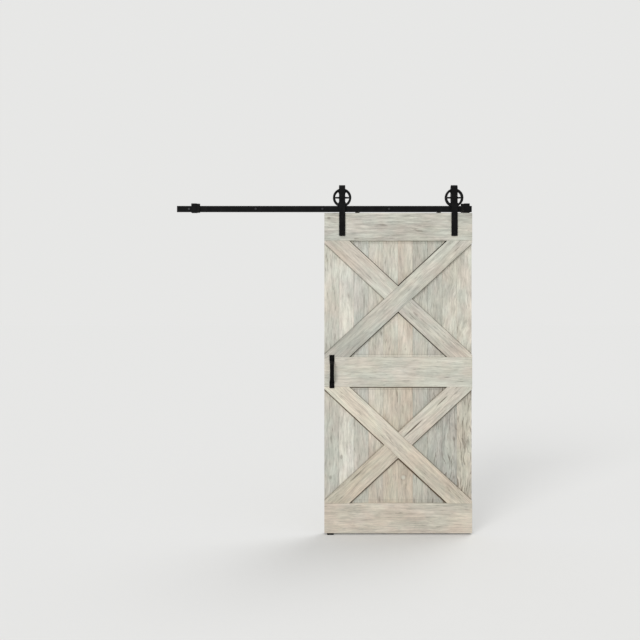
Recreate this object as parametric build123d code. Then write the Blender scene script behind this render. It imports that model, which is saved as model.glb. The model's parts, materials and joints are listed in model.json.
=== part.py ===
from build123d import *
import math
import os

# A sliding plank door that hangs from a flat steel track, seen from the room it faces.
# Millimetres. X runs to the right along the track, Y into the wall and Z up.
# The origin is the centre wall bolt's axis at the wall's surface, and the door stands open.

# Leaf
LEAF_WIDTH = 914.4
LEAF_HEIGHT = 1981.2
LEAF_DROP = 7.0
LEAF_FLOOR_GAP = 10.0
LEAF_REST_INSET = 0.0

# Tongue and groove boards behind the rails
BOARD_COUNT = 10
BOARD_THICKNESS = 19.0
BOARD_JOINT = 0.4
BOARD_BEVEL = 1.0
TONGUE_LENGTH = 6.0
TONGUE_THICKNESS = 6.0
TONGUE_CLEARANCE = 0.3

# Rails and braces laid on the boards
OVERLAY_THICKNESS = 19.0
OVERLAY_BEVEL = 1.5
TOP_RAIL_HEIGHT = 171.5
MIDDLE_RAIL_HEIGHT = 184.15
BOTTOM_RAIL_HEIGHT = 184.15
UPPER_PANEL_HEIGHT = 720.7
BRACE_WIDTH = 114.3
BRACE_SIDE_CUT = 14.0
BRACE_JOINT = 0.3

# Flat track bar and its wall fixings
TRACK_LENGTH = 1828.8
BAR_HEIGHT = 38.1
BAR_THICKNESS = 6.0
BOLT_COUNT = 5
BOLT_LEFT_END = 76.2
BOLT_RIGHT_END = 101.6
STANDOFF_LENGTH = 28.0
STANDOFF_RADIUS = 10.0
LAG_RADIUS = 4.0
LAG_SHANK_RADIUS = 3.6
LAG_THREAD_LENGTH = 50.0
LAG_HEAD_FLATS = 13.0
LAG_HEAD_HEIGHT = 5.3
LAG_CLEARANCE = 0.4

# Wheels
TREAD_RADIUS = 50.8
FLANGE_DEPTH = 6.35
WHEEL_WIDTH = 17.0
GROOVE_CLEARANCE = 1.0
RIM_THICKNESS = 8.0
SPOKE_COUNT = 6
SPOKE_RIM_WIDTH = 8.0
SPOKE_HUB_WIDTH = 12.0
SPOKE_THICKNESS = 8.0
HUB_RADIUS = 17.0
RAIL_GAP = 0.2

# Bent strap hangers
HANGER_INSET = 110.0
STRAP_WIDTH = 38.1
STRAP_THICKNESS = 6.0
STRAP_GAP = 30.0
STRAP_OVER_WHEEL = 15.0
STRAP_BELOW_AXLE = 25.0
STRAP_ON_LEAF = 142.6
STRAP_CORNER = 3.0
AXLE_RADIUS = 6.0
BUSH_WALL = 3.0
AXLE_HEAD_RADIUS = 10.5
AXLE_HEAD_HEIGHT = 5.0
AXLE_SOCKET_FLATS = 8.0
AXLE_NUT_FLATS = 18.0
AXLE_NUT_HEIGHT = 6.0
AXLE_TIP = 1.5
AXLE_CLEARANCE = 0.2
RUNNING_CLEARANCE = 0.05
SIDE_CLEARANCE = 0.3

# Hexagon-headed screws that hold each strap to the leaf
STRAP_SCREW_DROPS = (25.0, 122.0)
STRAP_SCREW_RADIUS = 4.0
STRAP_SCREW_FLATS = 13.0
STRAP_SCREW_HEAD_HEIGHT = 4.5
STRAP_SCREW_LENGTH = 38.0
FASTENER_CLEARANCE = 0.1

# End stops that sit astride the track bar
STOP_WIDTH = 37.0
STOP_WALL = 6.0
STOP_ABOVE_BAR = 15.0
STOP_BELOW_BAR = 5.0
STOP_LEFT_INSET = 89.7
STOP_CORNER = 2.0
BUMPER_LENGTH = 16.0
BUMPER_DEPTH = 22.0
BUMPER_INSET = 2.0
BUMPER_CORNER = 4.0
BUMPER_CLEARANCE = 0.3
WHEEL_STOP_GAP = 0.6
GRUB_RADIUS = 4.0
GRUB_SOCKET_FLATS = 4.0
GRUB_SOCKET_DEPTH = 4.0
GRUB_SINK = 1.0

# Pull handle bent from flat bar
PULL_INSET = 46.5
PULL_RISE = 3.0
PULL_LENGTH = 205.0
PULL_FOOT_LENGTH = 36.0
PULL_SLOPE_LENGTH = 24.0
PULL_PROJECTION = 35.0
PULL_THICKNESS = 5.0
PULL_FOOT_WIDTH = 30.0
PULL_GRIP_WIDTH = 26.0
PULL_BEND_RADIUS = 9.0
PULL_HOLE_INSET = 18.0
PULL_HOLE_RADIUS = 2.6

# Discs on the leaf's top edge that keep the wheels on the track
DISC_RADIUS = 14.0
DISC_THICKNESS = 5.0
DISC_INBOARD = 95.0
DISC_HOLE_RADIUS = 2.4

# Floor guide whose fin runs in a groove under the leaf
FLOOR_GROOVE_WIDTH = 8.0
FLOOR_GROOVE_DEPTH = 20.0
GUIDE_INSET = 37.3
GUIDE_WIDTH = 40.0
GUIDE_DEPTH = 44.0
GUIDE_BASE_THICKNESS = 4.0
GUIDE_ENGAGEMENT = 14.0
GUIDE_CLEARANCE = 0.6
GUIDE_CORNER = 4.0
GUIDE_HOLE_EDGE = 9.0
GUIDE_HOLE_RADIUS = 2.6

# Places along the track
BOLT_SPACING = (TRACK_LENGTH - BOLT_LEFT_END - BOLT_RIGHT_END) / (BOLT_COUNT - 1)
CENTRE_BOLT = BOLT_COUNT // 2
BOLT_XS = [(index - CENTRE_BOLT) * BOLT_SPACING for index in range(BOLT_COUNT)]
TRACK_LEFT = BOLT_XS[0] - BOLT_LEFT_END
TRACK_RIGHT = TRACK_LEFT + TRACK_LENGTH
LEAF_RIGHT = TRACK_RIGHT - LEAF_REST_INSET
LEAF_LEFT = LEAF_RIGHT - LEAF_WIDTH
HANGER_XS = {"left": LEAF_LEFT + HANGER_INSET, "right": LEAF_RIGHT - HANGER_INSET}

# Places in depth, from the wall at zero towards the room
BAR_BACK = -STANDOFF_LENGTH
BAR_MIDDLE = BAR_BACK - BAR_THICKNESS / 2
BAR_FRONT = BAR_BACK - BAR_THICKNESS
LEAF_FRONT = BAR_MIDDLE - STRAP_GAP / 2
STRAP_FRONT = LEAF_FRONT - STRAP_THICKNESS
BACK_LEG_BACK = BAR_MIDDLE + STRAP_GAP / 2 + STRAP_THICKNESS
BOARD_FRONT = LEAF_FRONT + OVERLAY_THICKNESS
LEAF_BACK = BOARD_FRONT + BOARD_THICKNESS

# Heights
BAR_TOP = BAR_HEIGHT / 2
WHEEL_Z = BAR_TOP + RAIL_GAP + TREAD_RADIUS
FLANGE_RADIUS = TREAD_RADIUS + FLANGE_DEPTH
STRAP_BEND_Z = WHEEL_Z + FLANGE_RADIUS + STRAP_OVER_WHEEL - STRAP_GAP / 2
LEAF_TOP = -BAR_TOP - LEAF_DROP
LEAF_BOTTOM = LEAF_TOP - LEAF_HEIGHT
FLOOR_Z = LEAF_BOTTOM - LEAF_FLOOR_GAP
TOP_RAIL_BOTTOM = LEAF_TOP - TOP_RAIL_HEIGHT
MIDDLE_RAIL_TOP = TOP_RAIL_BOTTOM - UPPER_PANEL_HEIGHT
MIDDLE_RAIL_BOTTOM = MIDDLE_RAIL_TOP - MIDDLE_RAIL_HEIGHT
BOTTOM_RAIL_TOP = LEAF_BOTTOM + BOTTOM_RAIL_HEIGHT
STRAP_SCREW_ZS = [LEAF_TOP - drop for drop in STRAP_SCREW_DROPS]
PULL_X = LEAF_LEFT + PULL_INSET
PULL_Z = (MIDDLE_RAIL_TOP + MIDDLE_RAIL_BOTTOM) / 2 + PULL_RISE
DISC_XS = [HANGER_XS["left"] + DISC_INBOARD, HANGER_XS["right"] - DISC_INBOARD]
GUIDE_X = LEAF_LEFT + GUIDE_INSET

# Radii that follow from what they fit
BUSH_RADIUS = AXLE_RADIUS + AXLE_CLEARANCE + BUSH_WALL
LAG_HOLE_RADIUS = LAG_RADIUS + LAG_CLEARANCE

# Places of the stops' bumper faces, where a wheel's flange meets the bumper's top edge
BUMPER_TOP = BAR_TOP + STOP_ABOVE_BAR - BUMPER_INSET
WHEEL_REACH = math.sqrt(FLANGE_RADIUS**2 - (WHEEL_Z - BUMPER_TOP) ** 2)
STOP_FACES = {
    "left": TRACK_LEFT + STOP_LEFT_INSET + STOP_WIDTH + BUMPER_LENGTH,
    "right": HANGER_XS["right"] + WHEEL_REACH + WHEEL_STOP_GAP,
}
STOP_SIDES = {"left": -1, "right": 1}

MIN_ALIGN = (Align.CENTER, Align.CENTER, Align.MIN)


def block(low, high):
    """A box between two opposite corners."""
    size = [high[i] - low[i] for i in range(3)]
    return Pos(*low) * Box(*size, align=(Align.MIN, Align.MIN, Align.MIN))


def into_wall(x, y, z, shape):
    """A shape drawn along +Z, turned to run along +Y from the point given."""
    return Pos(x, y, z) * Rot(-90, 0, 0) * shape


def rod(x, y, z, radius, length):
    """A round bar along Y from y towards the wall."""
    return into_wall(x, y, z, Cylinder(radius, length, align=MIN_ALIGN))


def upright(x, y, z, radius, length):
    """A round bar along Z from z upwards."""
    return Pos(x, y, z) * Cylinder(radius, length, align=MIN_ALIGN)


def hexagon(flats, height):
    """A hexagonal prism on the XY plane, by its width across flats."""
    return extrude(RegularPolygon(flats / 2, 6, major_radius=False), height)


def group(solids):
    """Separate solids that share one node."""
    return Compound(children=solids)


def touches(shape, other):
    """Whether the boxes of two shapes meet."""
    one = shape.bounding_box()
    two = other.bounding_box()
    sides = zip(tuple(one.min), tuple(one.max), tuple(two.min), tuple(two.max))
    return all(low < other_high and other_low < high for low, high, other_low, other_high in sides)


def leaf_cuts():
    """What is cut out of the leaf: the pilot holes of the strap screws and the floor groove."""
    radius = STRAP_SCREW_RADIUS + FASTENER_CLEARANCE
    depth = STRAP_SCREW_LENGTH - STRAP_THICKNESS + FASTENER_CLEARANCE
    holes = [rod(x, LEAF_FRONT, z, radius, depth) for x in HANGER_XS.values() for z in STRAP_SCREW_ZS]
    half = FLOOR_GROOVE_WIDTH / 2
    low = (LEAF_LEFT, BOARD_FRONT - half, LEAF_BOTTOM)
    high = (LEAF_RIGHT, BOARD_FRONT + half, LEAF_BOTTOM + FLOOR_GROOVE_DEPTH)
    return holes + [block(low, high)]


def cut_out(shape):
    """One piece of the leaf with every cut that reaches it."""
    for cut in leaf_cuts():
        if touches(shape, cut):
            shape -= cut
    return shape


def board_profile(index):
    """The outline of one board, seen from above, with its tongue and groove."""
    pitch = LEAF_WIDTH / BOARD_COUNT
    first = index == 0
    last = index == BOARD_COUNT - 1
    left = LEAF_LEFT + index * pitch + (0 if first else BOARD_JOINT / 2)
    right = LEAF_LEFT + (index + 1) * pitch - (0 if last else BOARD_JOINT / 2)
    middle = (BOARD_FRONT + LEAF_BACK) / 2
    tongue = TONGUE_THICKNESS / 2
    groove = tongue + TONGUE_CLEARANCE
    tip = right + TONGUE_LENGTH
    bed = left + TONGUE_LENGTH + TONGUE_CLEARANCE
    points = [(left + BOARD_BEVEL, BOARD_FRONT), (right - BOARD_BEVEL, BOARD_FRONT)]
    points += [(right, BOARD_FRONT + BOARD_BEVEL)]
    if not last:
        points += [(right, middle - tongue), (tip, middle - tongue)]
        points += [(tip, middle + tongue), (right, middle + tongue)]
    points += [(right, LEAF_BACK), (left, LEAF_BACK)]
    if not first:
        points += [(left, middle + groove), (bed, middle + groove)]
        points += [(bed, middle - groove), (left, middle - groove)]
    points += [(left, BOARD_FRONT + BOARD_BEVEL)]
    return make_face(Polyline(*points, close=True))


def board(index):
    """One full-height board."""
    return cut_out(Pos(0, 0, LEAF_BOTTOM) * extrude(board_profile(index), LEAF_HEIGHT))


def overlay(outline):
    """A rail or brace from its front outline, with its front edges eased."""
    plane = Plane(origin=(0, BOARD_FRONT, 0), x_dir=(1, 0, 0), z_dir=(0, -1, 0))
    shape = extrude(plane * make_face(Polyline(*outline, close=True)), OVERLAY_THICKNESS)
    front = shape.faces().sort_by(Axis.Y)[0]
    return cut_out(chamfer(front.edges(), OVERLAY_BEVEL))


def rail(bottom, top):
    """A rail across the whole leaf."""
    return overlay([(LEAF_LEFT, bottom), (LEAF_RIGHT, bottom), (LEAF_RIGHT, top), (LEAF_LEFT, top)])


def brace_outlines(bottom, top):
    """The three outlines of one cross: the whole brace, which rises to the right, and the two halves.

    Each end meets a rail and, for a short way, the leaf's side, which sets the slope.
    """
    half_width = LEAF_WIDTH / 2
    half_height = (top - bottom) / 2
    side = half_height - BRACE_SIDE_CUT
    slope = math.atan2(side, half_width) + math.asin(BRACE_WIDTH / 2 / math.hypot(half_width, side))
    end = BRACE_WIDTH / math.sin(slope) - BRACE_SIDE_CUT / math.tan(slope)
    across = 2 * math.sin(slope)
    along = 2 * math.cos(slope)
    whole = [(-half_width, -side), (-half_width, -half_height), (-half_width + end, -half_height)]
    whole += [(-x, -z) for x, z in whole]
    upper = [(-half_width, side), (-half_width, half_height), (-half_width + end, half_height)]
    upper += [(-BRACE_JOINT / across, (BRACE_WIDTH + BRACE_JOINT) / along)]
    upper += [(-(BRACE_WIDTH + BRACE_JOINT) / across, BRACE_JOINT / along)]
    lower = [(-x, -z) for x, z in upper]
    return whole, upper, lower


def braces(bottom, top, mirrored):
    """The three brace pieces of one panel, mirrored where the whole brace falls to the right."""
    centre_x = (LEAF_LEFT + LEAF_RIGHT) / 2
    centre_z = (bottom + top) / 2
    turn = -1 if mirrored else 1
    shapes = []
    for outline in brace_outlines(bottom, top):
        shapes.append(overlay([(centre_x + turn * x, centre_z + z) for x, z in outline]))
    return shapes


def track_bar():
    shape = block((TRACK_LEFT, BAR_FRONT, -BAR_TOP), (TRACK_RIGHT, BAR_BACK, BAR_TOP))
    for x in BOLT_XS:
        shape -= rod(x, BAR_FRONT, 0, LAG_HOLE_RADIUS, BAR_THICKNESS)
    return shape


def standoff(x):
    """A tube that holds the bar off the wall."""
    tube = rod(x, BAR_BACK, 0, STANDOFF_RADIUS, STANDOFF_LENGTH)
    return tube - rod(x, BAR_BACK, 0, LAG_HOLE_RADIUS, STANDOFF_LENGTH)


def lag_bolt(x):
    """A wall bolt with a plain shank in the standoff and its thread's outline in the wall."""
    head_front = BAR_FRONT - LAG_HEAD_HEIGHT
    bolt = into_wall(x, head_front, 0, hexagon(LAG_HEAD_FLATS, LAG_HEAD_HEIGHT))
    bolt += rod(x, BAR_FRONT, 0, LAG_SHANK_RADIUS, -BAR_FRONT)
    return bolt + rod(x, 0, 0, LAG_RADIUS, LAG_THREAD_LENGTH)


def rim():
    """The grooved rim as a ring about Z, which straddles the bar."""
    half_groove = BAR_THICKNESS / 2 + GROOVE_CLEARANCE
    ring = Cylinder(FLANGE_RADIUS, WHEEL_WIDTH) - Cylinder(TREAD_RADIUS - RIM_THICKNESS, WHEEL_WIDTH)
    groove = Cylinder(FLANGE_RADIUS, 2 * half_groove) - Cylinder(TREAD_RADIUS, 2 * half_groove)
    return ring - groove


def spoke():
    """One tapered spoke along X, from inside the hub to inside the rim."""
    near = HUB_RADIUS / 2
    far = TREAD_RADIUS - RIM_THICKNESS / 2
    points = [(near, -SPOKE_HUB_WIDTH / 2), (far, -SPOKE_RIM_WIDTH / 2)]
    points += [(far, SPOKE_RIM_WIDTH / 2), (near, SPOKE_HUB_WIDTH / 2)]
    return extrude(make_face(Polyline(*points, close=True)), SPOKE_THICKNESS / 2, both=True)


def wheel(x):
    """A grooved wheel with spokes, one of them level, about an axle along Y."""
    length = STRAP_GAP - 2 * SIDE_CLEARANCE
    shape = rim() + Cylinder(HUB_RADIUS, length)
    for index in range(SPOKE_COUNT):
        shape += Rot(0, 0, index * 360 / SPOKE_COUNT) * spoke()
    shape -= Cylinder(BUSH_RADIUS + RUNNING_CLEARANCE, length)
    return Pos(x, BAR_MIDDLE, WHEEL_Z) * Rot(-90, 0, 0) * shape


def axle_bush(x):
    """The plain bush that the bolt clamps between the strap's legs, and the wheel turns on."""
    tube = rod(x, LEAF_FRONT, WHEEL_Z, BUSH_RADIUS, STRAP_GAP)
    return tube - rod(x, LEAF_FRONT, WHEEL_Z, AXLE_RADIUS + AXLE_CLEARANCE, STRAP_GAP)


def axle_bolt(x):
    """The bolt through both legs, with a low socket head in front."""
    head = Cylinder(AXLE_HEAD_RADIUS, AXLE_HEAD_HEIGHT, align=MIN_ALIGN)
    head -= hexagon(AXLE_SOCKET_FLATS, AXLE_HEAD_HEIGHT / 2)
    bolt = into_wall(x, STRAP_FRONT - AXLE_HEAD_HEIGHT, WHEEL_Z, head)
    tip = BACK_LEG_BACK + AXLE_NUT_HEIGHT + AXLE_TIP
    return bolt + rod(x, STRAP_FRONT, WHEEL_Z, AXLE_RADIUS, tip - STRAP_FRONT)


def axle_nut(x):
    nut = hexagon(AXLE_NUT_FLATS, AXLE_NUT_HEIGHT)
    nut -= Cylinder(AXLE_RADIUS + FASTENER_CLEARANCE, AXLE_NUT_HEIGHT, align=MIN_ALIGN)
    return into_wall(x, BACK_LEG_BACK, WHEEL_Z, nut)


def strap(x):
    """Flat bar bent over the wheel, with its long leg down the leaf's face."""
    middle = STRAP_GAP / 2 + STRAP_THICKNESS / 2
    front = BAR_MIDDLE - middle
    back = BAR_MIDDLE + middle
    start = (x, front, LEAF_TOP - STRAP_ON_LEAF)
    rise = Line(start, (x, front, STRAP_BEND_Z))
    bend = ThreePointArc(rise @ 1, (x, BAR_MIDDLE, STRAP_BEND_Z + middle), (x, back, STRAP_BEND_Z))
    fall = Line(bend @ 1, (x, back, WHEEL_Z - STRAP_BELOW_AXLE))
    section = Plane(origin=start, x_dir=(1, 0, 0), z_dir=(0, 0, 1))
    path = Wire([rise.edge(), bend.edge(), fall.edge()])
    shape = sweep(section * Rectangle(STRAP_WIDTH, STRAP_THICKNESS), path=path)
    shape = chamfer(shape.edges().filter_by(Axis.Y), STRAP_CORNER)
    depth = BACK_LEG_BACK - STRAP_FRONT
    shape -= rod(x, STRAP_FRONT, WHEEL_Z, AXLE_RADIUS + AXLE_CLEARANCE, depth)
    for z in STRAP_SCREW_ZS:
        shape -= rod(x, STRAP_FRONT, z, STRAP_SCREW_RADIUS + AXLE_CLEARANCE, STRAP_THICKNESS)
    return shape


def strap_screw(x, z):
    """A hexagon-headed screw through the strap into the leaf."""
    head = hexagon(STRAP_SCREW_FLATS, STRAP_SCREW_HEAD_HEIGHT)
    screw = into_wall(x, STRAP_FRONT - STRAP_SCREW_HEAD_HEIGHT, z, head)
    return screw + rod(x, STRAP_FRONT, z, STRAP_SCREW_RADIUS, STRAP_SCREW_LENGTH)


def stop_span(side):
    """The low and high X of the block of one side's stop."""
    near = STOP_FACES[side] + STOP_SIDES[side] * BUMPER_LENGTH
    far = near + STOP_SIDES[side] * STOP_WIDTH
    return min(near, far), max(near, far)


def grub_place(side):
    """Where the grub screw's tip bears on the bar's top edge."""
    low, high = stop_span(side)
    return Pos((low + high) / 2, BAR_MIDDLE, BAR_TOP)


def stop_block(side):
    """A steel block with a slot from below, which sits astride the bar."""
    low, high = stop_span(side)
    bottom = -BAR_TOP - STOP_BELOW_BAR
    top = BAR_TOP + STOP_ABOVE_BAR
    shape = block((low, BAR_FRONT - STOP_WALL, bottom), (high, BAR_BACK + STOP_WALL, top))
    shape = chamfer(shape.edges().filter_by(Axis.Y), STOP_CORNER)
    shape -= block((low, BAR_FRONT, bottom), (high, BAR_BACK, BAR_TOP))
    bore = Cylinder(GRUB_RADIUS + FASTENER_CLEARANCE, STOP_ABOVE_BAR, align=MIN_ALIGN)
    return shape - grub_place(side) * bore


def grub_screw(side):
    """The socket screw through the block's top that grips the bar."""
    length = STOP_ABOVE_BAR - GRUB_SINK
    screw = Cylinder(GRUB_RADIUS, length, align=MIN_ALIGN)
    screw -= Pos(0, 0, length - GRUB_SOCKET_DEPTH) * hexagon(GRUB_SOCKET_FLATS, GRUB_SOCKET_DEPTH)
    return grub_place(side) * screw


def bumper(side):
    """The rubber sleeve round the bar that the wheel meets, with its outer corners rounded."""
    near = STOP_FACES[side]
    far = near + STOP_SIDES[side] * BUMPER_LENGTH
    half = BUMPER_DEPTH / 2
    low = (min(near, far), BAR_MIDDLE - half, -BAR_TOP - STOP_BELOW_BAR + BUMPER_INSET)
    high = (max(near, far), BAR_MIDDLE + half, BUMPER_TOP)
    shape = block(low, high)
    face = shape.faces().sort_by(Axis.X)[0 if STOP_SIDES[side] > 0 else -1]
    shape = fillet(face.edges().filter_by(Axis.Z), BUMPER_CORNER)
    slot_low = (low[0], BAR_FRONT - BUMPER_CLEARANCE, -BAR_TOP - BUMPER_CLEARANCE)
    slot_high = (high[0], BAR_BACK + BUMPER_CLEARANCE, BAR_TOP + BUMPER_CLEARANCE)
    return shape - block(slot_low, slot_high)


def pull_handle():
    """A flat bar bent into a raised grip between two feet, and narrowed along the grip."""
    middle = PULL_THICKNESS / 2
    foot_y = LEAF_FRONT - middle
    grip_y = LEAF_FRONT - PULL_PROJECTION + middle
    end = PULL_LENGTH / 2
    bend = end - PULL_FOOT_LENGTH
    grip = bend - PULL_SLOPE_LENGTH
    path_points = [(end, foot_y), (bend, foot_y), (grip, grip_y)]
    path_points += [(-z, y) for z, y in reversed(path_points)]
    path = FilletPolyline(*[(PULL_X, y, PULL_Z + z) for z, y in path_points], radius=PULL_BEND_RADIUS)
    section_plane = Plane(origin=path @ 0, x_dir=(1, 0, 0), z_dir=path % 0)
    shape = sweep(section_plane * Rectangle(PULL_FOOT_WIDTH, PULL_THICKNESS), path=path)
    shape &= pull_outline(end, bend, grip)
    for side in (-1, 1):
        z = PULL_Z + side * (end - PULL_HOLE_INSET)
        shape -= rod(PULL_X, LEAF_FRONT - PULL_THICKNESS, z, PULL_HOLE_RADIUS, PULL_THICKNESS)
    return shape


def pull_outline(end, bend, grip):
    """The handle's front view, as a solid that the bent bar is trimmed to."""
    foot = PULL_FOOT_WIDTH / 2
    narrow = PULL_GRIP_WIDTH / 2
    right = [(foot, -end), (foot, -bend), (narrow, -grip), (narrow, grip), (foot, bend), (foot, end)]
    points = right + [(-x, z) for x, z in reversed(right)]
    plane = Plane(origin=(PULL_X, LEAF_FRONT, PULL_Z), x_dir=(1, 0, 0), z_dir=(0, -1, 0))
    return extrude(plane * make_face(Polyline(*points, close=True)), PULL_PROJECTION)


def disc(x):
    """A round block on the leaf's top edge, just under the bar."""
    shape = upright(x, BAR_MIDDLE, LEAF_TOP, DISC_RADIUS, DISC_THICKNESS)
    return shape - upright(x, BAR_MIDDLE, LEAF_TOP, DISC_HOLE_RADIUS, DISC_THICKNESS)


def floor_guide():
    """A plate on the floor with an upright fin that keeps the leaf from swinging."""
    half_width = GUIDE_WIDTH / 2
    half_depth = GUIDE_DEPTH / 2
    half_fin = FLOOR_GROOVE_WIDTH / 2 - GUIDE_CLEARANCE
    base_low = (GUIDE_X - half_width, BOARD_FRONT - half_depth, FLOOR_Z)
    base_high = (GUIDE_X + half_width, BOARD_FRONT + half_depth, FLOOR_Z + GUIDE_BASE_THICKNESS)
    base = chamfer(block(base_low, base_high).edges().filter_by(Axis.Z), GUIDE_CORNER)
    fin_end = half_width - GUIDE_CORNER
    fin_top = LEAF_BOTTOM + GUIDE_ENGAGEMENT
    fin_low = (GUIDE_X - fin_end, BOARD_FRONT - half_fin, FLOOR_Z)
    fin = block(fin_low, (GUIDE_X + fin_end, BOARD_FRONT + half_fin, fin_top))
    shape = base + chamfer(fin.faces().sort_by(Axis.Z)[-1].edges().filter_by(Axis.Y), GUIDE_CORNER)
    for side in (-1, 1):
        y = BOARD_FRONT + side * (half_depth - GUIDE_HOLE_EDGE)
        shape -= upright(GUIDE_X, y, FLOOR_Z, GUIDE_HOLE_RADIUS, GUIDE_BASE_THICKNESS)
    return shape


def leaf_parts():
    """The wooden pieces of the leaf."""
    parts = {f"board_{index + 1:02d}": board(index) for index in range(BOARD_COUNT)}
    parts["top_rail"] = rail(TOP_RAIL_BOTTOM, LEAF_TOP)
    parts["middle_rail"] = rail(MIDDLE_RAIL_BOTTOM, MIDDLE_RAIL_TOP)
    parts["bottom_rail"] = rail(LEAF_BOTTOM, BOTTOM_RAIL_TOP)
    panels = {
        "upper": (MIDDLE_RAIL_TOP, TOP_RAIL_BOTTOM, False),
        "lower": (BOTTOM_RAIL_TOP, MIDDLE_RAIL_BOTTOM, True),
    }
    for name, (bottom, top, mirrored) in panels.items():
        whole, above, below = braces(bottom, top, mirrored)
        parts[f"{name}_brace_whole"] = whole
        parts[f"{name}_brace_half_above"] = above
        parts[f"{name}_brace_half_below"] = below
    return parts


def track_parts():
    """The bar, what fixes it to the wall, its end stops and the floor guide."""
    parts = {
        "track_bar": track_bar(),
        "track_standoffs": group([standoff(x) for x in BOLT_XS]),
        "lag_bolts": group([lag_bolt(x) for x in BOLT_XS]),
        "floor_guide": floor_guide(),
        "stop_grub_screws": group([grub_screw(side) for side in STOP_SIDES]),
    }
    for side in STOP_SIDES:
        parts[f"stop_block_{side}"] = stop_block(side)
        parts[f"stop_bumper_{side}"] = bumper(side)
    return parts


def hanger_parts():
    """The straps, wheels and their fixings, and the small hardware on the leaf."""
    parts = {}
    for side, x in HANGER_XS.items():
        parts[f"hanger_strap_{side}"] = strap(x)
        parts[f"wheel_{side}"] = wheel(x)
    xs = HANGER_XS.values()
    parts["axle_bolts"] = group([axle_bolt(x) for x in xs])
    parts["axle_nuts"] = group([axle_nut(x) for x in xs])
    parts["axle_bushes"] = group([axle_bush(x) for x in xs])
    parts["strap_screws"] = group([strap_screw(x, z) for x in xs for z in STRAP_SCREW_ZS])
    parts["anti_jump_discs"] = group([disc(x) for x in DISC_XS])
    parts["pull_handle"] = pull_handle()
    return parts


os.makedirs("parts", exist_ok=True)
for name, shape in {**leaf_parts(), **track_parts(), **hanger_parts()}.items():
    export_step(shape, f"parts/{name}.step")
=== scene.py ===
import json
import math

import bmesh
import bpy
from mathutils import Matrix, Vector

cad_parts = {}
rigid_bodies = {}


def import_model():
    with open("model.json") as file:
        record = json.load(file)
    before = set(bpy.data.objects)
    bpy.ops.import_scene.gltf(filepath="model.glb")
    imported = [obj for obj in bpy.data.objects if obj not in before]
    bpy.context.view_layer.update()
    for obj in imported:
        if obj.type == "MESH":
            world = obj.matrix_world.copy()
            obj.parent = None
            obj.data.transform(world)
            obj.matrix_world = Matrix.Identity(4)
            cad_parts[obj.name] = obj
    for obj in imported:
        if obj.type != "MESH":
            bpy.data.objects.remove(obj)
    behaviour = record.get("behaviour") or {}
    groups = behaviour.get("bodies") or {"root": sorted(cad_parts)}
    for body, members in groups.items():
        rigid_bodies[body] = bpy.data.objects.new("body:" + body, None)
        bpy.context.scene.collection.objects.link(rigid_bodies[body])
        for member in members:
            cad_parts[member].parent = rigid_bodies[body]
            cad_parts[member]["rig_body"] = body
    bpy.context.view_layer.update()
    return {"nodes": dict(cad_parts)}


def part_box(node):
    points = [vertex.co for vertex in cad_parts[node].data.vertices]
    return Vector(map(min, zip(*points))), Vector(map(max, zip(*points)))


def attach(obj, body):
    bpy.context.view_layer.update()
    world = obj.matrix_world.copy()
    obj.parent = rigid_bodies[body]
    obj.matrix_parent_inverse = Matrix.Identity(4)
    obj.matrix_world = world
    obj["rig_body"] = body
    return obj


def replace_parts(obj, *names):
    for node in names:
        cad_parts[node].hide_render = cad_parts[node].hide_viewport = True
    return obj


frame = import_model()
NODES = frame["nodes"]
MM = 0.001

# Whitewash tones, as the wood shows them in even light
CHALK = (0.680, 0.655, 0.580)
IVORY = (0.675, 0.628, 0.525)
LINEN = (0.645, 0.618, 0.535)
CREAM = (0.610, 0.583, 0.503)
FROST = (0.580, 0.575, 0.520)
MIST = (0.575, 0.555, 0.490)
SAGE = (0.535, 0.520, 0.455)
BLUSH = (0.605, 0.550, 0.465)
SAND = (0.590, 0.528, 0.430)
OAT = (0.560, 0.500, 0.405)
CLAY = (0.540, 0.500, 0.415)
STONE = (0.462, 0.452, 0.400)

# What shows on and through the whitewash
SMUDGE = (0.310, 0.310, 0.280)
WORN_THROUGH = (0.390, 0.362, 0.300)
BARE_WOOD = (0.360, 0.315, 0.250)
DARK_GRAIN = (0.120, 0.095, 0.072)
KNOT_BROWN = (0.235, 0.190, 0.145)
FILLER = (0.680, 0.680, 0.590)
# Painted shade for the lines on the boards beside braces and rails, browner in the lower panel, and a
# painted highlight above the middle rail
PAINTED_SHADE_DARK = (0.060, 0.050, 0.042)
PAINTED_SHADE_BROWN = (0.070, 0.040, 0.016)
PAINTED_HIGHLIGHT = (0.800, 0.780, 0.700)

# The tones of each wooden piece at the two ends of its grain: bottom and top, or left and right
BOARD_TONES = (
    (SAGE, LINEN),
    (CHALK, CHALK),
    (MIST, FROST),
    (BLUSH, CREAM),
    (SAND, LINEN),
    (SAND, BLUSH),
    (SAGE, SAGE),
    (STONE, SAGE),
    (STONE, CREAM),
    (CLAY, LINEN),
)
OVERLAY_TONES = {
    "top_rail": (MIST, SAGE),
    "middle_rail": (CREAM, CREAM),
    "bottom_rail": (BLUSH, BLUSH),
    "upper_brace_whole": (STONE, CREAM),
    "upper_brace_half_above": (BLUSH, CREAM),
    "upper_brace_half_below": (MIST, BLUSH),
    "lower_brace_whole": (IVORY, SAND),
    "lower_brace_half_above": (BLUSH, CREAM),
    "lower_brace_half_below": (OAT, OAT),
}
FALLING_BRACES = ("upper_brace_half_above", "upper_brace_half_below", "lower_brace_whole")
MOST_WORN = ("board_08", "board_09", "board_10")

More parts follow.
